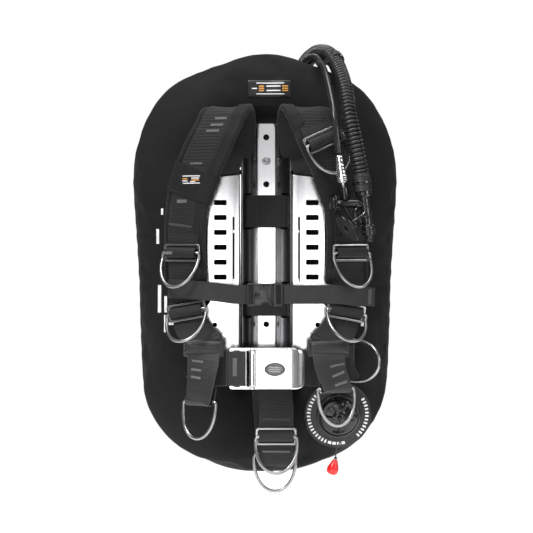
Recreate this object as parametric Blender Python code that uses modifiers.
"""Single-tank buoyancy vest: donut wing, bent steel backplate, padded harness, inflator hose and dump valve.

Frame: +Z up, the wearer stands on the -Y side and the cylinder on the +Y side.
Origin: on the cylinder-side face of the tank saddle, midway between the plate's two main bolt holes.
All lengths below are in millimetres and are turned into metres by mm().
"""

import math

import bmesh
import bpy
import numpy as np
from mathutils import Matrix, Vector

# ---------------------------------------------------------------- driving sizes (mm)
BOLT_SPACING = 279.4        # main bolt holes of the plate, 11 inch
PLATE_T = 3.0               # plate sheet thickness
CHANNEL_HALF = 15.5         # half width of the channel's flat bottom
WING_BEND = 38.0            # where the plate's slanted walls meet its side wings
CHANNEL_REAR = -6.0         # y of the channel bottom's rear face
SIDE_REAR = -36.0           # y of the side wings' rear face
WEB_W, WEB_T = 50.0, 2.5    # harness webbing
CHEST_W, CHEST_T = 27.0, 2.0
PAD_W, PAD_T = 65.0, 6.0    # shoulder pads
RING_R = 2.6                # D-ring wire radius
RING_IN = 27.6              # half of the D-ring's inner width
RING_LEN = 54.0             # bar centre to the far side of the bow
CAM_W, CAM_T = 48.0, 2.2    # tank bands
TANK_R = 88.0               # inner radius of the tank bands, for a 171 mm cylinder and its net
UPPER_BAND_Z, LOWER_BAND_Z = 28.7, -103.0
HOSE_R, LP_R = 12.0, 4.8    # corrugated hose and low pressure hose, outer radii
SCREW_Z = (104.3, -103.0)    # screws that clamp plate, panel and saddle
BUCKLE_Z = -201.0           # height of the waist buckle's centre
WING_X = -2.0               # the soft wing hangs slightly off the plate's centre line
WING_ZC = -42.0             # pole of the wing's outline
SEAM_Y = -4.5

# half width of the wing at heights along it, top to bottom
WING_OUTLINE = [
    (262.3, 0), (261.6, 22.6), (257.2, 41), (250.1, 59.5), (238.1, 96.4), (226.1, 125.1), (214.1, 142.5),
    (202.2, 154.8), (190.1, 164), (166.2, 178.4), (142.2, 187.6), (118.2, 194.8), (82.2, 198.4),
    (46.2, 196.9), (-13.8, 192.8), (-73.8, 189.2), (-133.8, 187.6), (-205.7, 184.6), (-241.6, 181.5),
    (-265.8, 174.3), (-289.8, 161), (-301.8, 151.7), (-313.8, 140.5), (-325.8, 125.1), (-337.8, 102.5),
    (-349.8, 70.7), (-357.5, 41), (-360.5, 0),
]


def mm(*v):
    return Vector(v) / 1000.0 if len(v) > 1 else v[0] / 1000.0


# ---------------------------------------------------------------- scene and materials
for old in list(bpy.data.objects):
    bpy.data.objects.remove(old)
part = bpy.data.collections.new("buoyancy_vest")
cutters = bpy.data.collections.new("cutters")
bpy.context.scene.collection.children.link(part)
bpy.context.scene.collection.children.link(cutters)


def material(name, rgb, rough, metal=0.0):
    m = bpy.data.materials.new(name)
    m.use_nodes = True
    b = m.node_tree.nodes["Principled BSDF"]
    b.inputs["Base Color"].default_value = (*rgb, 1)
    b.inputs["Roughness"].default_value = rough
    b.inputs["Metallic"].default_value = metal
    m.diffuse_color = (*rgb, 1)
    return m


CORDURA = material("cordura", (0.025, 0.025, 0.027), 0.85)
WEBBING = material("webbing", (0.045, 0.045, 0.047), 0.8)
PADDING = material("padding", (0.035, 0.035, 0.037), 0.9)
STEEL = material("stainless", (0.80, 0.80, 0.79), 0.18, 1.0)
RUBBER = material("rubber", (0.03, 0.03, 0.03), 0.5)
PLASTIC = material("black_plastic", (0.03, 0.03, 0.032), 0.4)
BLADDER = material("bladder_film", (0.35, 0.12, 0.03), 0.35)
RED = material("red_plastic", (0.75, 0.01, 0.01), 0.3)


# ---------------------------------------------------------------- helpers
def add(name, mesh, mat, matrix=None, parent=None):
    ob = bpy.data.objects.new(name, mesh)
    part.objects.link(ob)
    ob.data.materials.clear()
    ob.data.materials.append(mat)
    if parent is not None:
        ob.parent = parent
    if matrix is not None:
        ob.matrix_world = matrix
    return ob


def from_bmesh(name, bm, mat, matrix=None, parent=None, smooth=False):
    mesh = bpy.data.meshes.new(name)
    bmesh.ops.recalc_face_normals(bm, faces=bm.faces)
    bm.to_mesh(mesh)
    bm.free()
    ob = add(name, mesh, mat, matrix, parent)
    if smooth:
        mesh.shade_smooth()
        mesh.set_sharp_from_angle(angle=math.radians(35))
    return ob


def baked(ob, matrix=None):
    """Replaces a curve, or an object with modifiers, by the closed mesh it makes."""
    bpy.context.view_layer.update()
    graph = bpy.context.evaluated_depsgraph_get()
    mesh = bpy.data.meshes.new_from_object(ob.evaluated_get(graph))
    bm = bmesh.new()
    bm.from_mesh(mesh)
    bmesh.ops.remove_doubles(bm, verts=bm.verts, dist=1e-6)
    bmesh.ops.recalc_face_normals(bm, faces=bm.faces)
    bm.to_mesh(mesh)
    bm.free()
    name, mats = ob.name, [m for m in ob.data.materials]
    world = ob.matrix_world.copy() if matrix is None else matrix
    parent = ob.parent
    bpy.data.objects.remove(ob)
    new = bpy.data.objects.new(name, mesh)
    part.objects.link(new)
    new.data.materials.clear()
    for m in mats:
        new.data.materials.append(m)
    new.parent = parent
    new.matrix_world = world
    return new


def cutter(ob):
    for c in list(ob.users_collection):
        c.objects.unlink(ob)
    cutters.objects.link(ob)
    ob.hide_render = True
    ob.display_type = "WIRE"
    return ob


def cut(ob, tool, operation="DIFFERENCE"):
    m = ob.modifiers.new(operation.lower() + "_" + tool.name, "BOOLEAN")
    m.operation = operation
    m.object = tool
    return ob


def box_bm(sx, sy, sz, centre=(0, 0, 0)):
    bm = bmesh.new()
    bmesh.ops.create_cube(bm, size=1.0)
    bmesh.ops.scale(bm, vec=mm(sx, sy, sz), verts=bm.verts)
    bmesh.ops.translate(bm, vec=mm(*centre), verts=bm.verts)
    return bm


def cylinder(name, r, depth, centre, axis, mat, segments=20, parent=None, local=False):
    bm = bmesh.new()
    bmesh.ops.create_cone(bm, cap_ends=True, segments=segments, radius1=mm(r), radius2=mm(r), depth=mm(depth))
    q = Vector((0, 0, 1)).rotation_difference(Vector(axis)).to_matrix().to_4x4()
    return from_bmesh(name, bm, mat, Matrix.Translation(mm(*centre)) @ q, parent, smooth=True)


def catmull(points, t):
    """Point at parameter t, 0 to len-1, on a centripetal-looking cubic through the points."""
    n = len(points)
    i = max(0, min(n - 2, int(math.floor(t))))
    f = t - i
    p1, p2 = points[i], points[i + 1]
    p0 = points[i - 1] if i > 0 else p1 + (p1 - p2)
    p3 = points[i + 2] if i + 2 < n else p2 + (p2 - p1)
    return 0.5 * (2 * p1 + (p2 - p0) * f + (2 * p0 - 5 * p1 + 4 * p2 - p3) * f * f + (3 * p1 - p0 - 3 * p2 + p3) * f ** 3)


class Path:
    """A strap's centre line with the direction across it, measured along its length in mm."""

    def __init__(self, stations, mirror=False):
        pos = [Vector(s[0]) for s in stations]
        wid = [Vector(s[1]).normalized() for s in stations]
        if mirror:
            pos = [Vector((-p.x, p.y, p.z)) for p in pos]
            wid = [Vector((w.x, -w.y, -w.z)) for w in wid]
        self.t = np.linspace(0, len(pos) - 1, 60 * (len(pos) - 1) + 1)
        self.p = [catmull(pos, t) for t in self.t]
        self.w = [catmull(wid, t).normalized() for t in self.t]
        d = [0.0]
        for a, b in zip(self.p, self.p[1:]):
            d.append(d[-1] + (b - a).length)
        self.s = np.array(d)
        self.length = d[-1]

    def at(self, s):
        """(centre, along, across, outward) at s mm."""
        s = max(0.0, min(self.length, s))
        i = int(min(max(np.searchsorted(self.s, s) - 1, 0), len(self.s) - 2))
        f = (s - self.s[i]) / max(self.s[i + 1] - self.s[i], 1e-9)
        c = self.p[i].lerp(self.p[i + 1], f)
        a, b = max(i - 4, 0), min(i + 5, len(self.p) - 1)
        t = (self.p[b] - self.p[a]).normalized()
        w = self.w[i].lerp(self.w[i + 1], f)
        w = (w - t * w.dot(t)).normalized()
        return c, t, w, t.cross(w)

    def near(self, point):
        """The length along the path nearest a point."""
        target = Vector(point)
        return float(self.s[min(range(len(self.p)), key=lambda i: (self.p[i] - target).length)])


# the rise of the webbing over a D-ring's bar, along the strap (mm) and outward (mm)
BUMP = [(-19, 0), (-12.6, 0.1), (-9.4, 2.6), (-6.8, 8.6), (-4.2, 12.0), (0, 13.0), (4.2, 12.0), (6.8, 8.6), (9.4, 2.6), (12.6, 0.1), (19, 0)]


def bump(u):
    if abs(u) >= 19:
        return 0.0
    for (a, ya), (b, yb) in zip(BUMP, BUMP[1:]):
        if a <= u <= b:
            return ya + (yb - ya) * (u - a) / (b - a)
    return 0.0


def cuts_along(path, s0, s1, step):
    """Where a strap's cross-sections go: close together round a bend, further apart where it runs straight."""
    cuts, last, k = {round(s0, 4), round(s1, 4)}, s0, s0
    heading = path.at(s0)[1]
    while k < s1 - 1.2:
        k += 0.4
        turn = math.degrees(heading.angle(path.at(k)[1]))
        if k - last > step or (turn > 16 and k - last > 1.0):
            cuts.add(round(k, 4))
            last, heading = k, path.at(k)[1]
    return cuts


def strip(name, path, s0, s1, width, thick, mat, step=14.0, bumps=(), lift=0.0, across=1, even=True, flip=False):
    """Webbing: a flat grid laid along the path, given its thickness by Solidify."""
    whole = cuts_along(path, 0, path.length, step)
    cuts = {c for c in whole if s0 + 1.5 < c < s1 - 1.5} | {round(s0, 4), round(s1, 4)}
    for b in bumps:
        cuts = {c for c in cuts if abs(c - b) > 22 or c in (round(s0, 4), round(s1, 4))}
        cuts |= {round(b + u, 4) for u, _ in BUMP}
    cuts = sorted(cuts)
    bm = bmesh.new()
    bmesh.ops.create_grid(bm, x_segments=len(cuts) - 1, y_segments=across, size=0.5)
    xs = sorted({round(v.co.x, 5) for v in bm.verts})
    index = {x: k for k, x in enumerate(xs)}
    for v in bm.verts:
        s = cuts[index[round(v.co.x, 5)]]
        side = v.co.y * width
        c, t, w, n = path.at(s)
        v.co = (c + w * side + n * (lift + sum(bump(s - b) for b in bumps))) / 1000.0
        v.co.x *= -1 if flip else 1
    ob = from_bmesh(name, bm, mat)
    m = ob.modifiers.new("thickness", "SOLIDIFY")
    m.thickness = mm(thick)
    m.offset = 0.0
    m.use_even_offset = even
    return ob


def tube(name, points, radius, mat, steps=20, sides=1, matrix=None, cyclic=False, parent=None, hollow=0.0):
    """Round wire or hose: a poly curve with a bevel."""
    pts = [Vector(p) for p in points]
    if steps:
        pts = [catmull(pts, t) for t in np.linspace(0, len(pts) - 1, steps + 1)]
    curve = bpy.data.curves.new(name, "CURVE")
    curve.dimensions = "3D"
    spline = curve.splines.new("POLY")
    spline.points.add(len(pts) - 1)
    for p, q in zip(spline.points, pts):
        p.co = (*(q / 1000.0), 1)
    spline.use_cyclic_u = cyclic
    curve.bevel_depth = mm(radius)
    curve.bevel_resolution = sides
    curve.use_fill_caps = not hollow
    curve.materials.append(mat)
    ob = bpy.data.objects.new(name, curve)
    part.objects.link(ob)
    if hollow:
        m = ob.modifiers.new("wall", "SOLIDIFY")
        m.thickness = mm(hollow)
        m.offset = -1.0
    if parent is not None:
        ob.parent = parent
    ob = baked(ob)
    if matrix is not None:
        ob.matrix_world = matrix
    return ob


def turned(name, profile, mat, centre, axis, steps=20, roll=0.0, closed=False):
    """A round piece: (radius, height) down its outer side, turned about its axis."""
    mesh = bpy.data.meshes.new(name)
    pts = [(mm(r), 0, mm(h)) for r, h in profile]
    edges = [(i, i + 1) for i in range(len(pts) - 1)]
    if closed:
        edges.append((len(pts) - 1, 0))
    mesh.from_pydata(pts, edges, [])
    q = Vector((0, 0, 1)).rotation_difference(Vector(axis)).to_matrix().to_4x4()
    ob = add(name, mesh, mat, Matrix.Translation(mm(*centre)) @ q @ Matrix.Rotation(roll, 4, "Z"))
    m = ob.modifiers.new("turn", "SCREW")
    m.steps = m.render_steps = steps
    m.use_merge_vertices = True
    m.merge_threshold = 0.00005
    m.use_normal_calculate = True
    ob = baked(ob)
    ob.data.shade_smooth()
    ob.data.set_sharp_from_angle(angle=math.radians(35))
    return ob


def flat_plate(name, outlines, thick, mat, matrix, parent=None):
    """A flat piece cut to an outline with windows: 2D curve, filled and extruded."""
    curve = bpy.data.curves.new(name, "CURVE")
    curve.dimensions = "2D"
    curve.fill_mode = "BOTH"
    curve.extrude = mm(thick) / 2
    for line in outlines:
        s = curve.splines.new("POLY")
        s.points.add(len(line) - 1)
        for p, q in zip(s.points, line):
            p.co = (mm(q[0]), mm(q[1]), 0, 1)
        s.use_cyclic_u = True
    curve.materials.append(mat)
    ob = bpy.data.objects.new(name, curve)
    part.objects.link(ob)
    if parent is not None:
        ob.parent = parent
    return baked(ob, matrix)


def rounded(w, h, r, cx=0.0, cy=0.0, n=3):
    """A rounded rectangle's points."""
    out = []
    for qx, qy, a0 in ((1, 1, 0), (-1, 1, 90), (-1, -1, 180), (1, -1, 270)):
        for k in range(n + 1):
            a = math.radians(a0 + 90 * k / n)
            out.append((cx + qx * (w / 2 - r) + r * math.cos(a), cy + qy * (h / 2 - r) + r * math.sin(a)))
    return out


def frame_matrix(origin, x, y, z):
    m = Matrix((x, y, z)).transposed().to_4x4()
    m.translation = Vector(origin) / 1000.0
    return m


# ---------------------------------------------------------------- wing
def half_width(z):
    zs = [a for a, _ in WING_OUTLINE]
    for (za, wa), (zb, wb) in zip(WING_OUTLINE, WING_OUTLINE[1:]):
        if zb <= z <= za:
            return wa + (wb - wa) * (za - z) / (za - zb)
    return -1.0 if z > zs[0] or z < zs[-1] else 0.0


def outer_radius(a):
    lo, hi = 40.0, 480.0
    for _ in range(40):
        r = (lo + hi) / 2
        x, z = r * math.cos(a), WING_ZC + r * math.sin(a)
        if abs(x) <= half_width(z):
            lo = r
        else:
            hi = r
    return lo


def inner_radius(a):
    """The donut's hole: a tall superellipse."""
    zc, hw, hh, p = -36.0, 60.0, 205.0, 3.6
    lo, hi = 10.0, 260.0
    for _ in range(40):
        r = (lo + hi) / 2
        x, z = r * math.cos(a), WING_ZC + r * math.sin(a) - zc
        if abs(x / hw) ** p + abs(z / hh) ** p <= 1:
            lo = r
        else:
            hi = r
    return lo


def wing_surface(name, inset, mat, major, minor, front=30.5, rear=42.0):
    """A torus whose ring follows the wing's two outlines, flattened to a cushion."""
    bm = bmesh.new()
    bm.free()
    bpy.ops.mesh.primitive_torus_add(major_segments=major, minor_segments=minor, major_radius=1.0, minor_radius=0.25)
    torus = bpy.context.object
    mesh = torus.data.copy()
    bpy.data.objects.remove(torus)
    cache = {}
    for v in mesh.vertices:
        a = math.atan2(v.co.y, v.co.x)
        ring = math.hypot(v.co.x, v.co.y) - 1.0
        b = math.atan2(v.co.z, ring)
        key = round(a, 5)
        if key not in cache:
            cache[key] = (inner_radius(a), outer_radius(a))
        ri, ro = cache[key]
        ri, ro = ri + inset * 1.9, ro - inset
        cb, sb = math.cos(b), math.sin(b)
        u = math.copysign(abs(cb) ** 0.80, cb)
        h = math.copysign(abs(sb) ** 0.85, sb)
        r = (ri + ro) / 2 + (ro - ri) / 2 * u
        depth = (rear if h > 0 else front) - inset
        y = SEAM_Y + 4.0 * max(0.0, u) + h * depth
        v.co = mm(WING_X + r * math.cos(a), y, WING_ZC + r * math.sin(a))
    ob = add(name, mesh, mat)
    mesh.shade_smooth()
    return ob


ELBOW = (50.0, 36.0, 203.0)     # where the inflator elbow leaves the wing's rear face
OPV = (106.0, -33.5, -273.0)    # dump valve on the wing's front face
OPV_AXIS = Vector((0.10, -0.985, -0.14)).normalized()

shell = wing_surface("wing_shell", 0.0, CORDURA, 48, 12)
m = shell.modifiers.new("cloth", "SOLIDIFY")
m.thickness = mm(1.6)
m.offset = 0.0
port_a = cutter(cylinder("port_elbow", 18.0, 40, (ELBOW[0], ELBOW[1] - 4, ELBOW[2]), (0, 1, 0), RUBBER, 20))
port_b = cutter(cylinder("port_dump", 25.5, 40, OPV, OPV_AXIS, RUBBER, 20))
cut(shell, port_a)
cut(shell, port_b)

bladder = wing_surface("wing_bladder", 5.5, BLADDER, 32, 8)
m = bladder.modifiers.new("film", "SOLIDIFY")
m.thickness = mm(1.0)
m.offset = 0.0
cut(bladder, port_a)
cut(bladder, port_b)

# panel across the donut's hole, with slots for the tank bands and holes for the two screws
panel_outline = []
for k in range(40):
    a = 2 * math.pi * k / 40
    r = inner_radius(a) - 4.4
    panel_outline.append((r * math.cos(a), WING_ZC + r * math.sin(a)))
windows = [rounded(8, 54, 3, sx * 41.3 - WING_X, z) for sx in (-1, 1) for z in (UPPER_BAND_Z, LOWER_BAND_Z)]
windows += [[(3.6 * math.cos(k * math.pi / 5) - WING_X, z + 3.6 * math.sin(k * math.pi / 5)) for k in range(10)] for z in SCREW_Z]
FRONT = Matrix(((1, 0, 0, 0), (0, 0, 1, 0), (0, 1, 0, 0), (0, 0, 0, 1)))     # sheet x, y -> world x, z


def front_plate(name, outlines, thick, y, mat, x=0.0):
    mat4 = Matrix.Translation(mm(x, y, 0)) @ Matrix.Rotation(math.radians(90), 4, "X")
    return flat_plate(name, outlines, thick, mat, mat4)


front_plate("wing_center_panel", [panel_outline] + windows, 2.0, SEAM_Y, CORDURA, WING_X)

# saddle: rubber base with two rails that stop the cylinder rolling
base = front_plate("tank_saddle", [rounded(66, 236, 6, 0, -37)] +
                   [[(3.6 * math.cos(k * math.pi / 5), SCREW_Z[1] + 3.6 * math.sin(k * math.pi / 5)) for k in range(10)]],
                   2.6, -1.3, RUBBER)
for sx in (-1, 1):
    rail = from_bmesh(f"rail_{sx}", box_bm(9, 12.0, 230, (sx * 27.5, 2.5, -37)), RUBBER)
    bv = rail.modifiers.new("round", "BEVEL")
    bv.width = mm(2.5)
    bv.segments = 2
    cut(base, cutter(rail), "UNION")

# ---------------------------------------------------------------- backplate
# bent profile, standing full height, then cut to the plate's outline
def profile_loop():
    h = PLATE_T / 2
    yc, ys = CHANNEL_REAR - h, SIDE_REAR - h
    line = [(-128, ys), (-WING_BEND, ys), (-CHANNEL_HALF, yc), (CHANNEL_HALF, yc), (WING_BEND, ys), (128, ys)]
    return [Vector((x, y, 0)) for x, y in line]


bm = bmesh.new()
line = profile_loop()
bmesh.ops.create_grid(bm, x_segments=len(line) - 1, y_segments=1, size=0.5)
xs = sorted({round(v.co.x, 5) for v in bm.verts})
for v in bm.verts:
    p = line[xs.index(round(v.co.x, 5))]
    v.co = mm(p.x, p.y, -30 + v.co.y * 420)
plate = from_bmesh("backplate", bm, STEEL)
m = plate.modifiers.new("sheet", "SOLIDIFY")
m.thickness = mm(PLATE_T)
m.offset = 0.0
m.use_even_offset = True
half = [(0, 160), (34, 160), (41, 152), (42, 114), (48, 99), (60, 95.5), (97, 92), (112, 82), (120, 55), (125, -40), (126, -112),
        (120, -146), (104, -170), (84, -181), (52, -183), (43, -190), (38, -206), (30, -211), (0, -211)]
outline = half + [(-x, z) for x, z in reversed(half[1:-1])]
mat4 = Matrix.Rotation(math.radians(90), 4, "X")
blank = cutter(flat_plate("plate_blank", [outline], 120, STEEL, mat4))
cut(plate, blank, "INTERSECT")


def plate_hole(name, points):
    cut(plate, cutter(flat_plate(name, [points], 120, STEEL, mat4)))


def circle(cx, cz, r, n=14):
    return [(cx + r * math.cos(2 * math.pi * k / n), cz + r * math.sin(2 * math.pi * k / n)) for k in range(n)]


def turned_slot(cx, cz, length, width, deg):
    a = math.radians(deg)
    return [(cx + x * math.cos(a) - z * math.sin(a), cz + x * math.sin(a) + z * math.cos(a)) for x, z in rounded(length, width, width / 2 - 0.1, n=2)]


for name, z in (("bolt_top", BOLT_SPACING / 2), ("bolt_low", -BOLT_SPACING / 2), ("bolt_mid", 69.5)):
    plate_hole(name, circle(0, z, 4.6))
for name, z in (("screw_top", SCREW_Z[0]), ("screw_low", SCREW_Z[1])):
    plate_hole(name, circle(0, z, 3.6, 10))
plate_hole("crotch_slot", rounded(53, 7, 3, 0, -198.0, n=2))
for sx, tag in ((1, "r"), (-1, "l")):
    plate_hole("shoulder_slot_" + tag, turned_slot(sx * 65, 83.5, 56, 8.6, -sx * 6))
    plate_hole("waist_slot_" + tag, turned_slot(sx * 93, -146, 54, 9.0, sx * 58))
    plate_hole("light_hole_" + tag, circle(sx * 98, -98, 17, 16))
    plate_hole("side_hole_" + tag, circle(sx * 75.8, -139.5, 3.5, 10))
    for nm, zz in (("u", UPPER_BAND_Z), ("d", LOWER_BAND_Z)):
        plate_hole("band_slot_" + tag + nm, rounded(10, 54, 2.5, sx * 27.6, zz, n=2))
    for k in range(7):
        plate_hole(f"window_{tag}{k}", rounded(19, 8, 2, sx * 68.0, 41.0 - 22.0 * k, n=1))
    plate_hole("long_slot_" + tag + "_in", rounded(3, 96, 1.2, sx * 48.4, -28, n=1))
    plate_hole("long_slot_" + tag + "_out", rounded(3, 76, 1.2, sx * 88.0, -18, n=1))
baked(plate)

# screws that clamp plate, panel and saddle: head in the channel, shank to the saddle
for name, z in (("book_screw_upper", SCREW_Z[0]), ("book_screw_lower", SCREW_Z[1])):
    front_len = 1.7
    turned(name, [(0, front_len), (5.6, front_len), (6.2, front_len - 0.5), (6.2, 0), (3.1, 0), (3.1, -6.2), (0, -6.2)], STEEL,
           (0, CHANNEL_REAR - PLATE_T - 0.3, z), (0, -1, 0), 14)

# ---------------------------------------------------------------- harness paths, right side (+X)
def yaw(deg, roll=0.0):
    a = math.radians(deg)
    return (math.cos(a), math.sin(a), math.tan(math.radians(roll)))


SHOULDER = [
    ((66, -34, 82), yaw(0, -6)), ((65.5, -37.5, 83.5), yaw(0, -6)), ((65, -44.5, 89), yaw(0, -5)), ((57, -50.5, 118), yaw(0, -3)), ((51, -54.5, 146), yaw(0, 0)), ((50.5, -60.5, 166), yaw(1, 2)),
    ((54.5, -73, 177.5), yaw(2, 0)), ((63, -86, 170), yaw(4, -8)), ((72, -92.8, 150.5), yaw(8, -15)), ((81.5, -95.5, 129.5), yaw(12, -18)), ((96.5, -92.5, 98), yaw(17, -18)),
    ((108, -87.5, 68), yaw(21, -14)), ((116, -82.5, 42), yaw(25, -9)), ((120, -78.5, 11), yaw(27, -4)), ((121, -75, -17), yaw(28, 0)),
    ((120.5, -73, -46), yaw(26, 0)), ((119, -72.5, -75), yaw(22, 0)), ((117, -74, -98), yaw(19.5, 1)), ((114.5, -76, -118), yaw(19, 2)), ((111, -78.8, -135), yaw(18, 4)),
    ((100, -89.5, -151), yaw(6, 5)), ((91.8, -95.6, -160), yaw(0, 0)), ((90.2, -94.2, -165.6), yaw(0, 0)), ((90, -90, -167.9), yaw(0, 0)),
    ((90, -86, -165.6), yaw(0, 0)), ((90, -84.6, -160), yaw(0, 0)), ((90.3, -84.0, -150), yaw(0, 0)),
]
PULL = [
    ((93, -35.2, -146), (math.cos(math.radians(58)), 0, math.sin(math.radians(58)))),
    ((93, -41.5, -146), (math.cos(math.radians(58)), 0, math.sin(math.radians(58)))),
    ((95.2, -46, -147.4), (math.cos(math.radians(58)), 0, math.sin(math.radians(58)))),
    ((99.5, -50.5, -150.6), (math.cos(math.radians(52)), 0, math.sin(math.radians(52)))),
    ((101.5, -58, -156.5), (0.80, -0.06, 0.60)), ((98.5, -66, -163.5), (0.90, -0.2, 0.30)), ((93.5, -74, -169.8), (0.98, -0.14, 0.10)), ((90.5, -82, -174.3), yaw(0)), ((90, -90, -176.8), yaw(0)),
    ((90.1, -96.5, -177.0), yaw(0)), ((90.3, -100.3, -180.5), yaw(4)), ((91, -101.6, -189), yaw(10)),
]
PULL_END = {1: [((93.5, -101.8, -202), 20), ((97.5, -101.8, -213), 26), ((101.5, -101.8, -224.5), 28)],
            -1: [((93, -101.8, -208), 26), ((95.5, -101.8, -226), 34), ((98, -101.8, -243), 38)]}

paths = {}
for sx, side in ((1, "right"), (-1, "left")):
    mirror = sx < 0
    sh = Path(SHOULDER, mirror)
    paths["shoulder_" + side] = sh
    s_pad0, s_pad1 = sh.near((sx * 58, -49, 114)), sh.near((sx * 115.5, -70, -82))
    s_chest, s_hip = sh.near((sx * 120.8, -74, -33)), sh.near((sx * 114.3, -76.3, -119))
    s_top = sh.near((sx * 81.5, -95.5, 129.5))
    bumps = [s_chest, s_hip] + ([s_top] if sx > 0 else [])
    base = Path(SHOULDER)
    strip("shoulder_webbing_" + side, base, 0, sh.length, WEB_W, WEB_T, WEBBING, 13, bumps, flip=sx < 0)
    pad = strip("shoulder_pad_" + side, base, s_pad0, s_pad1, PAD_W, PAD_T, PADDING, 13, (), lift=-(PAD_T + WEB_T) / 2 - 1.0, across=1, even=False, flip=sx < 0)
    paths["pad_" + side] = (s_pad0, s_pad1)
    tail = PULL_END[sx]
    # the hanging end folds round the ring's bar and is sewn back on itself
    tw = tail[-1][1]
    w_end = Vector(yaw(tw))
    end = Vector(tail[-1][0])
    back = Vector((-w_end.y, w_end.x, 0))
    full = PULL + [(p, yaw(t)) for p, t in tail]
    full += [(tuple(end + Vector((1.6, 0, -6)) + back * 0.4), yaw(tw)), (tuple(end + Vector((2.2, 0, -10.6)) + back * 5.5), yaw(tw)),
             (tuple(end + Vector((1.8, 0, -6)) + back * 10.6), yaw(tw)), (tuple(end + Vector((-1, 0, 8)) + back * 9.0), yaw(tw)), (tuple(end + Vector((-5, 0, 20)) + back * 6.0), yaw(tw))]
    pull = Path(full, mirror)
    paths["pull_" + side] = pull
    strip("pull_strap_" + side, pull, 0, pull.length, WEB_W - 3, 2.2, WEBBING, 7)
    paths["pull_bar_" + side] = (end + Vector((1.8, 0, -4.8)) + back * 5.5, w_end)

# ---------------------------------------------------------------- D-rings, keepers, slides
def ring_points(bend_deg, length=RING_LEN, inner=RING_IN):
    """The centre line of a D-ring: u down the strap, w across it, n out of it; the bar lies on w."""
    r = inner + RING_R
    out = []
    leg = 8.0
    bow = length - leg
    for k in range(13):
        a = math.pi * k / 12
        out.append((r * math.cos(a), leg + bow * math.sin(a) ** 0.9 if 0 < k < 12 else leg))
    pts = [(r - 2.0, 0.0), (r, 2.5)] + out + [(-r, 2.5), (-r + 2.0, 0.0)]
    bend = math.radians(bend_deg)
    res = []
    for w, u in pts:
        if u <= leg:
            res.append(Vector((w, u, 0)))
        else:
            res.append(Vector((w, leg + (u - leg) * math.cos(bend), (u - leg) * math.sin(bend))))
    return res


def d_ring(name, origin, across, down, out, bend):
    """Its origin is on the bar, which is its hinge."""
    pivot = bpy.data.objects.new(name + "_pivot", None)
    part.objects.link(pivot)
    pivot.matrix_world = frame_matrix(origin, across, down, out)
    ob = tube(name, ring_points(bend), RING_R, STEEL, steps=0, sides=1, cyclic=True)
    ob.parent = pivot
    ob.matrix_parent_inverse = Matrix.Identity(4)
    ob.matrix_basis = Matrix.Identity(4)
    ob.data.shade_smooth()
    return ob


def keeper(name, path, s, lift=0.0):
    c, t, w, n = path.at(s)
    outline = rounded(60.5, 31.5, 5)
    win = [rounded(52.2, 9.9, 1.5, 0, sgn * 7.45, n=1) for sgn in (-1, 1)]
    ob = flat_plate(name, [outline] + win, 2.6, STEEL, frame_matrix(c + n * (WEB_T / 2 + 0.7 + lift + 1.3), w, t, n))
    return ob


def ring_on(name, path, s, bend, lift=0.0):
    c, t, w, n = path.at(s)
    return d_ring(name, c + n * (7.55 + lift), w, t, n, bend)


for sx, side in ((1, "right"), (-1, "left")):
    sh = paths["shoulder_" + side]
    s_chest, s_hip = sh.near((sx * 120.8, -74, -33)), sh.near((sx * 114.3, -76.3, -119))
    keeper("keeper_chest_" + side, sh, s_chest, 0.8)
    ring_on("dring_chest_" + side, sh, s_chest, 30, 0.7)
    keeper("keeper_hip_" + side, sh, s_hip, 1.4)
    ring_on("dring_hip_" + side, sh, s_hip, 38, 1.25)
    c, w = paths["pull_bar_" + side]
    if sx < 0:
        c, w = Vector((-c.x, c.y, c.z)), Vector((w.x, -w.y, w.z))
    w = Vector((w.x, w.y, 0)).normalized()
    down = Vector((0, 0, -1))
    d_ring("dring_pull_" + side, c, w, down, down.cross(w) * -1 if down.cross(w).y > 0 else down.cross(w), 8)
s_top = paths["shoulder_right"].near((81.5, -95.5, 129.5))
keeper("keeper_shoulder", paths["shoulder_right"], s_top, 1.5)
ring_on("dring_shoulder", paths["shoulder_right"], s_top, 8, 1.4)

# slide buckles that join the shoulder webbing to the pull strap
for sx, side in ((1, "right"), (-1, "left")):
    y, z = -90.0, -171.0
    win = [rounded(53, 6.2, 1.2, 0, 3.2, n=1), rounded(53, 7.4, 1.2, 0, -5.8, n=1)]
    flat_plate("adjuster_" + side, [rounded(61, 25.5, 4, 0, -0.6)] + win, 2.2, STEEL,
               frame_matrix((sx * 90, y, z), Vector((1, 0, 0)), Vector((0, 0, 1)), Vector((0, -1, 0))))

# ---------------------------------------------------------------- waist belt and buckle
def belt_path(sx):
    e = 8.0 if sx > 0 else -12.0
    up = (0, 0, 1)
    pts = [((103 + 0.7 * min(e, 0), -43.0, -188), (0.08, 0, 1)), ((109 + e / 2, -44.5, -188.5), (0.04, 0, 1)), ((116.5 + e, -49.5, -189.5), up), ((120 + e, -55.5, -190.5), up),
           ((118.5 + e, -62, -191.8 if e > 0 else -195), up), ((112 + e, -66, -196 if e > 0 else -200), up), ((98, -69.5, -202.5), up), ((84, -73.5, -202.8), up), ((73, -78.5, -202.8), up), ((65.5, -83.2, -202.5), up)]
    if sx > 0:
        pts += [((59, -87.6, -201.5), up), ((50, -90.0, BUCKLE_Z), up), ((30, -90.2, BUCKLE_Z), up), ((-6, -90.2, BUCKLE_Z), up)]
    else:
        pts += [((59.6, -86.8, -201.6), up), ((56.6, -89.6, BUCKLE_Z), up), ((55.2, -93.4, BUCKLE_Z), up), ((56.6, -97.2, BUCKLE_Z), up), ((53.5, -99.2, BUCKLE_Z), up), ((48, -99.6, BUCKLE_Z), up), ((30, -99.6, BUCKLE_Z), up)]
    return pts


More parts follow.
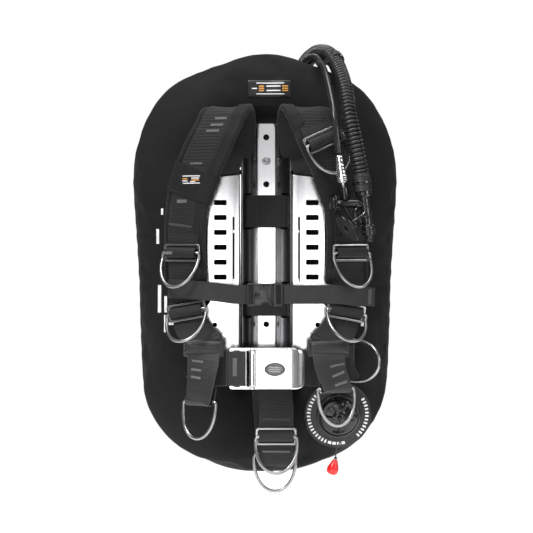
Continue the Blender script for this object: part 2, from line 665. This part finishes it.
for sx, side in ((1, "right"), (-1, "left")):
    p = Path(belt_path(sx), sx < 0)
    paths["belt_" + side] = p
    strip("waist_belt_" + side, p, 0, p.length, WEB_W, WEB_T, WEBBING, 14)
out = Vector((0.76, -0.65, 0)).normalized()
d_ring("dring_belt", Vector((122.4, -55.8, -191.5)), Vector((0, 0, -1)), out, Vector((0, 0, -1)).cross(out), 0)

# buckle frame: flat steel window frame, hinge cheeks and pin
HINGE_X, HINGE_Y = -20.0, -100.5
frame = flat_plate("waist_buckle_frame", [rounded(98, 60, 4, -4.5, 0), rounded(9, 52.5, 1.5, -42.5, 0, n=1), rounded(8, 52.5, 1.5, -24.0, 0, n=1), rounded(10, 52.5, 1.5, 30, 0, n=1)],
                   2.4, STEEL, frame_matrix((0, -94.0, BUCKLE_Z), Vector((1, 0, 0)), Vector((0, 0, 1)), Vector((0, -1, 0))))
for k, z in enumerate((28.2, -28.2)):
    cheek = from_bmesh(f"cheek_{k}", box_bm(7, 9.0, 2.6, (HINGE_X, -98.6, BUCKLE_Z + z)), STEEL)
    cut(frame, cutter(cheek), "UNION")
pin = cutter(cylinder("hinge_pin", 1.5, 56.0, (HINGE_X, HINGE_Y, BUCKLE_Z), (0, 0, 1), STEEL, 10))
cut(frame, pin, "UNION")
baked(frame)

# lever: folded steel cover that turns on the pin and clamps the belt
lever_pts = [(-0.4, 3.3), (-3.1, 2.2), (-4.2, -0.6), (-2.9, -3.4), (0.0, -4.4), (14, -5.0), (50, -5.0), (62.5, -4.2), (68.5, -1.4), (71.5, 3.2)]
bm = bmesh.new()
bmesh.ops.create_grid(bm, x_segments=len(lever_pts) - 1, y_segments=1, size=0.5)
xs = sorted({round(v.co.x, 5) for v in bm.verts})
for v in bm.verts:
    x, y = lever_pts[xs.index(round(v.co.x, 5))]
    half_h = 25.5 if x < 52 else 29.0 - max(0.0, x - 60) * 0.45
    half_h = 25.5 if x < 6 else half_h
    v.co = mm(x, y, math.copysign(half_h if x >= 6 else 25.5, v.co.y))
lever = from_bmesh("waist_buckle_lever", bm, STEEL, Matrix.Translation(mm(HINGE_X, HINGE_Y, BUCKLE_Z)))
m = lever.modifiers.new("sheet", "SOLIDIFY")
m.thickness = mm(1.6)
m.offset = 0.0

# ---------------------------------------------------------------- crotch strap
CROTCH = [
    ((3, -30, -197.5), (1, 0, 0)), ((4, -42.5, -199.5), (1, 0, 0)), ((8, -50, -212), (1, 0, 0)), ((12.5, -62, -236), (1, 0, 0)), ((14.5, -68, -262), (1, 0, 0)), ((14.5, -69, -297), (1, 0, 0)),
    ((14.5, -67.5, -325), (1, 0, 0)), ((13.8, -65.5, -338), (1, 0, 0)), ((13.0, -60, -344), (1, 0, 0)), ((12.2, -54.5, -338), (1, 0, 0)), ((10.5, -52, -322), (1, 0, 0)), ((8.5, -51, -296), (1, 0, 0)), ((6.5, -50, -268), (1, 0, 0)),
]
cr = Path(CROTCH)
paths["crotch"] = cr
s_cr = cr.near((14.5, -69, -301))
strip("crotch_strap", cr, 6, cr.length, WEB_W, WEB_T, WEBBING, 9, [s_cr])
keeper("keeper_crotch", cr, s_cr)
ring_on("dring_crotch_front", cr, s_cr, 20)
d_ring("dring_crotch_rear", (12.6, -60.0, -328.5), Vector((1, 0, 0)), Vector((0, 0, -1)), Vector((0, -1, 0)), 0)

# ---------------------------------------------------------------- chest strap and side release buckle
CZ = -93.0
CHEST = {
    1: [(158, -69, -98), (146, -76, -97.5), (122, -88, -95.5), (98, -96, -94), (72, -96, -94), (45, -95, -94), (23, -95, -94)],
    -1: [(143, -72, -86), (122, -85, -86.5), (98, -94.5, -88), (72, -95.5, -90.5), (45, -95, -93.8), (34, -95, -94), (21, -95, -94)],
}
for sx, side in ((1, "right"), (-1, "left")):
    st = [(p, (0, 0, 1)) for p in CHEST[sx]]
    p = Path(st, False)
    if sx < 0:
        p = Path([((-a[0], a[1], a[2]), (0, 0, -1)) for a, _ in st], False)
    paths["chest_" + side] = p
    strip("chest_strap_" + side, p, 0, p.length, CHEST_W, CHEST_T, WEBBING, 11)

# female half: a box sleeve open to the right, with a bar for its strap at the left
BK = (1.0, -95.0, -94.0)
female = from_bmesh("chest_buckle_female", box_bm(26, 12, 31, (BK[0] - 5.5, BK[1], BK[2])), PLASTIC)
bv = female.modifiers.new("round", "BEVEL")
bv.width = mm(2.2)
bv.segments = 2
cut(female, cutter(from_bmesh("sleeve_hole", box_bm(30, 6.6, 24.6, (BK[0] - 2.5, BK[1], BK[2])), PLASTIC)))
cut(female, cutter(from_bmesh("side_window_top", box_bm(11, 7.2, 12, (BK[0] - 1.5, BK[1], BK[2] + 15)), PLASTIC)))
cut(female, cutter(from_bmesh("side_window_low", box_bm(11, 7.2, 12, (BK[0] - 1.5, BK[1], BK[2] - 15)), PLASTIC)))
for k, (dx, dz, sz) in enumerate(((-22, 0, 34),)):
    bar = from_bmesh("female_bars", box_bm(12, 9.0, 34, (BK[0] - 22.5, BK[1], BK[2])), PLASTIC)
    cut(female, cutter(bar), "UNION")
    cut(female, cutter(from_bmesh("female_slot", box_bm(6.6, 30, 28.5, (BK[0] - 23.3, BK[1], BK[2])), PLASTIC)))
    cut(female, cutter(from_bmesh("female_strap_path", box_bm(12, 4.0, 28.5, (BK[0] - 25.2, BK[1], BK[2])), PLASTIC)))
baked(female)

# male half: bar frame at the right, centre tongue and two sprung arms
male_pts = [(22, 17), (22, -17), (8.6, -17), (8.6, -11.4), (3.0, -11.7), (-4.0, -12.0), (-8.5, -11.0), (-12.5, -10.6), (-12.5, -8.6), (-6.0, -7.6), (6.0, -6.4), (7.4, -3.2), (7.4, -2.0), (-13.0, -1.6),
            (-13.0, 1.6), (7.4, 2.0), (7.4, 3.2), (6.0, 6.4), (-6.0, 7.6), (-12.5, 8.6), (-12.5, 10.6), (-8.5, 11.0), (-4.0, 12.0), (3.0, 11.7), (8.6, 11.4), (8.6, 17)]
male = flat_plate("chest_buckle_male", [[(x, z) for x, z in male_pts], rounded(6.4, 28.5, 1.0, 16.4, 0, n=1)], 5.4, PLASTIC,
                  frame_matrix((BK[0] + 0.4, BK[1] - 0.1, BK[2]), Vector((1, 0, 0)), Vector((0, 0, 1)), Vector((0, -1, 0))))
cut(male, cutter(from_bmesh("male_strap_path", box_bm(20, 3.2, 28.5, (BK[0] + 25.2, BK[1] + 0.2, BK[2])), PLASTIC)))
baked(male)

# ---------------------------------------------------------------- tank bands and their cam levers
def band_stations():
    up = (0, 0, 1)
    pts = []
    R = TANK_R + CAM_T / 2
    for d in range(196, 320, 12):
        a = math.radians(d)
        pts.append(((R * math.sin(a), TANK_R - R * math.cos(a), 0), up))
    pts += [((-47.5, 8.5, 0), up), ((-42.8, -3.0, 0), up), ((-38.5, -12, 0), up), ((-31.5, -20.5, 0), up), ((-23, -22.3, 0), up), ((0, -22.8, 0), up), ((23, -22.3, 0), up),
            ((31.5, -20.5, 0), up), ((38.5, -12, 0), up), ((42.8, -3.0, 0), up), ((47.5, 8.5, 0), up)]
    for d in range(41, 166, 12):
        a = math.radians(d)
        pts.append(((R * math.sin(a), TANK_R - R * math.cos(a), 0), up))
    return pts


for tag, zc in (("upper", UPPER_BAND_Z), ("lower", LOWER_BAND_Z)):
    p = Path([((a[0], a[1], zc), w) for a, w in band_stations()])
    paths["band_" + tag] = p
    strip("cam_band_" + tag, p, 0, p.length, CAM_W, CAM_T, WEBBING, 14, even=True)
    # lever: a curved plate over the gap between the band's ends, hinged on its left edge
    pts = []
    for d in range(168, 198, 5):
        a = math.radians(d)
        pts.append((TANK_R + 8.0) * math.sin(a))
    a0 = math.radians(197)
    hinge = Vector(((TANK_R + 5.0) * math.sin(a0), TANK_R - (TANK_R + 5.0) * math.cos(a0), zc))
    bm = bmesh.new()
    bmesh.ops.create_grid(bm, x_segments=7, y_segments=1, size=0.5)
    xs = sorted({round(v.co.x, 5) for v in bm.verts})
    for v in bm.verts:
        a = math.radians(199 - 38.0 * xs.index(round(v.co.x, 5)) / 7)
        world = Vector(((TANK_R + 7.0) * math.sin(a), TANK_R - (TANK_R + 7.0) * math.cos(a), zc + math.copysign(28.5, v.co.y)))
        v.co = (world - hinge) / 1000.0
    lev = from_bmesh("cam_lever_" + tag, bm, STEEL, Matrix.Translation(hinge / 1000.0))
    m = lev.modifiers.new("sheet", "SOLIDIFY")
    m.thickness = mm(3.0)
    m.offset = 0.0

# ---------------------------------------------------------------- dump valve
def opv_at(h):
    return tuple(Vector(OPV) + OPV_AXIS * h)


turned("opv_body", [(10.5, 2.0), (31.5, 2.0), (33.0, 0.8), (33.0, -1.6), (24.6, -1.6), (24.6, -13.0), (10.5, -13.0)], PLASTIC, opv_at(5.6), OPV_AXIS, 24, closed=True)
turned("opv_cap", [(3.0, 9.0), (15.0, 8.4), (24.0, 5.2), (28.0, 0.6), (28.0, 0.0), (23.0, 0.0), (20.0, 3.2), (3.0, 4.6)], PLASTIC, opv_at(8.2), OPV_AXIS, 24, closed=True)
turned("opv_poppet", [(0, 1.6), (9.6, 1.6), (9.6, 0), (5.0, -1.2), (0, -1.2)], RUBBER, opv_at(-1.0), OPV_AXIS, 16)
# return spring between poppet and cap
turns, spring_pts = 3.5, []
q = Vector((0, 0, 1)).rotation_difference(OPV_AXIS).to_matrix()
for k in range(int(turns * 9) + 1):
    a = 2 * math.pi * k / 9
    spring_pts.append(Vector(opv_at(1.6)) + q @ Vector((7.2 * math.cos(a), 7.2 * math.sin(a), 7.0 * k / (turns * 9))))
tube("opv_spring", spring_pts, 0.55, STEEL, steps=0, sides=0)
TOGGLE = Vector((98.5, -50.0, -349.0))
c0 = Vector(opv_at(19.2))
tube("opv_cord", [c0, c0 + Vector((0.4, -2.6, -8)), c0 + Vector((0.6, -1.2, -34)), Vector((102.8, -51.5, -322)), Vector((102.0, -50.5, -336.5))], 0.9, RUBBER, steps=14, sides=0)
turned("opv_toggle", [(0, 12), (3.2, 11.4), (5.6, 6), (8.2, 0), (8.8, -4), (7.6, -8.6), (4.2, -10.6), (0, -11)], RED, tuple(TOGGLE), (0.26, -0.05, 0.96), 14)

# ---------------------------------------------------------------- inflator
HOSE = [(50.2, 63, 226), (52.5, 62.5, 241), (60, 52, 258), (69, 33, 266), (79.5, 12, 269.5), (93.5, -18, 262.5), (104.5, -48, 242), (113, -84, 208), (118.5, -110, 164), (129, -116, 113.5), (135.6, -112.7, 80.5), (138.5, -112.3, 58)]
tube("corrugated_hose", HOSE, HOSE_R, RUBBER, steps=24, sides=2, hollow=2.0)
LP = [(16, 68, 176), (21, 66, 205), (33, 57, 232), (50, 38, 250), (63, 14, 260), (73, -14, 259.5), (80.5, -40, 247), (86, -68, 230), (92.5, -100, 195), (97, -122, 163), (101, -128, 127.5), (103.5, -126.8, 108.5)]
tube("lp_hose", LP, LP_R, RUBBER, steps=24, sides=1)

turned("elbow_flange", [(12.4, 9.0), (24.0, 9.0), (24.0, 7.0), (16.6, 6.6), (16.6, -8.0), (12.4, -8.0)], PLASTIC, (ELBOW[0], ELBOW[1], ELBOW[2]), (0, 1, 0), 18, closed=True)
# elbow: screw collar, then a bend that rises into the hose
elbow = turned("inflator_elbow", [(0, 16), (11, 16), (12, 15), (21.5, 9), (21.5, 0), (0, 0)], PLASTIC, (ELBOW[0], ELBOW[1] + 9.3, ELBOW[2]), (0, 1, 0), 20)
riser = tube("riser", [(ELBOW[0], ELBOW[1] + 12, ELBOW[2]), (ELBOW[0], ELBOW[1] + 20, ELBOW[2] + 0.6), (ELBOW[0], ELBOW[1] + 26.0, ELBOW[2] + 6), (ELBOW[0], ELBOW[1] + 27.0, ELBOW[2] + 17)], 11.0, PLASTIC, steps=10, sides=2)
cut(elbow, cutter(riser), "UNION")
barb = cutter(cylinder("barb", 8.2, 20, (50.2, 62.9, 224), (0.06, -0.01, 1), PLASTIC, 14))
cut(elbow, barb, "UNION")
baked(elbow)

# inflator head: vertical body in the hose's clamp, side arm with the inflate button, mouthpiece, vent button below
BODY = Vector((140.0, -112.4, 47.0))
UP = Vector((-0.13, 0.012, 1)).normalized()


def body_at(h, dx=0.0, dy=0.0):
    return tuple(BODY + UP * h + Vector((dx, dy, 0)))


body = turned("inflator_body", [(0, 27), (8.0, 27), (8.0, 8.5), (11.6, 8.0), (11.6, 1.0), (7.4, -2.0), (6.8, -42), (9.2, -44), (9.2, -56.5), (0, -56.5)], PLASTIC, BODY, UP, 18)
ARM = Vector((99.5, -113.5, 37.5))
FACE = Vector((-0.93, -0.36, 0.0)).normalized()
arm = cutter(cylinder("arm", 6.6, 40, (120.5, -112.8, 37.2), (1, 0, 0), PLASTIC, 16))
cut(body, arm, "UNION")
house = cutter(cylinder("button_house", 13.0, 9.0, ARM, FACE, PLASTIC, 18))
cut(body, house, "UNION")
cut(body, cutter(cylinder("button_bore", 10.2, 8.0, ARM + FACE * 4.5, FACE, PLASTIC, 18)))
throat = cutter(tube("throat", [(142, -113, 19), (134, -114, 13.5), (125, -116, 8.0)], 7.4, PLASTIC, steps=4, sides=2))
cut(body, throat, "UNION")
NIP = Vector((103.9, -126.4, 104.3))
QD = Vector((113.5, -114.5, 43.0)) - NIP
QD_LEN = QD.length
QD.normalize()
cut(body, cutter(cylinder("boot", 6.4, 18, NIP + QD * (QD_LEN - 9), -QD, PLASTIC, 14)), "UNION")
cut(body, cutter(cylinder("nipple", 3.2, 22, NIP + QD * (QD_LEN - 26), -QD, PLASTIC, 12)), "UNION")
cut(body, cutter(cylinder("vent_bore", 6.6, 10.0, body_at(-57), UP, PLASTIC, 14)))
baked(body)
turned("inflate_button", [(0, 5.6), (7.4, 5.2), (9.4, 4.0), (9.4, 0), (0, 0)], PLASTIC, ARM + FACE * 2.2, FACE, 16)
turned("deflate_button", [(0, 12.4), (4.4, 12.2), (5.8, 11.0), (5.8, 0), (0, 0)], PLASTIC, body_at(-53.2), -UP, 14)
MOUTH = Vector((-0.72, -0.42, -0.55)).normalized()
turned("mouthpiece", [(0, 13.0), (4, 13.0), (9.5, 12.6), (17.6, 12.0), (17.6, 9.8), (9.5, 8.6), (8.8, 2.0), (0, 2.0)], RUBBER, Vector((123.4, -116.7, 7.1)), MOUTH, 18)
# quick-disconnect: steel ferrule and sliding collar between the hose and the nipple
turned("qd_collar", [(3.8, 0), (5.4, 0), (5.4, -11), (6.3, -12), (6.3, -20.5), (7.0, -21), (7.0, -26), (8.2, -27), (8.2, -36.5), (7.2, -38), (3.8, -38)], STEEL, NIP, -QD, 16, closed=True)
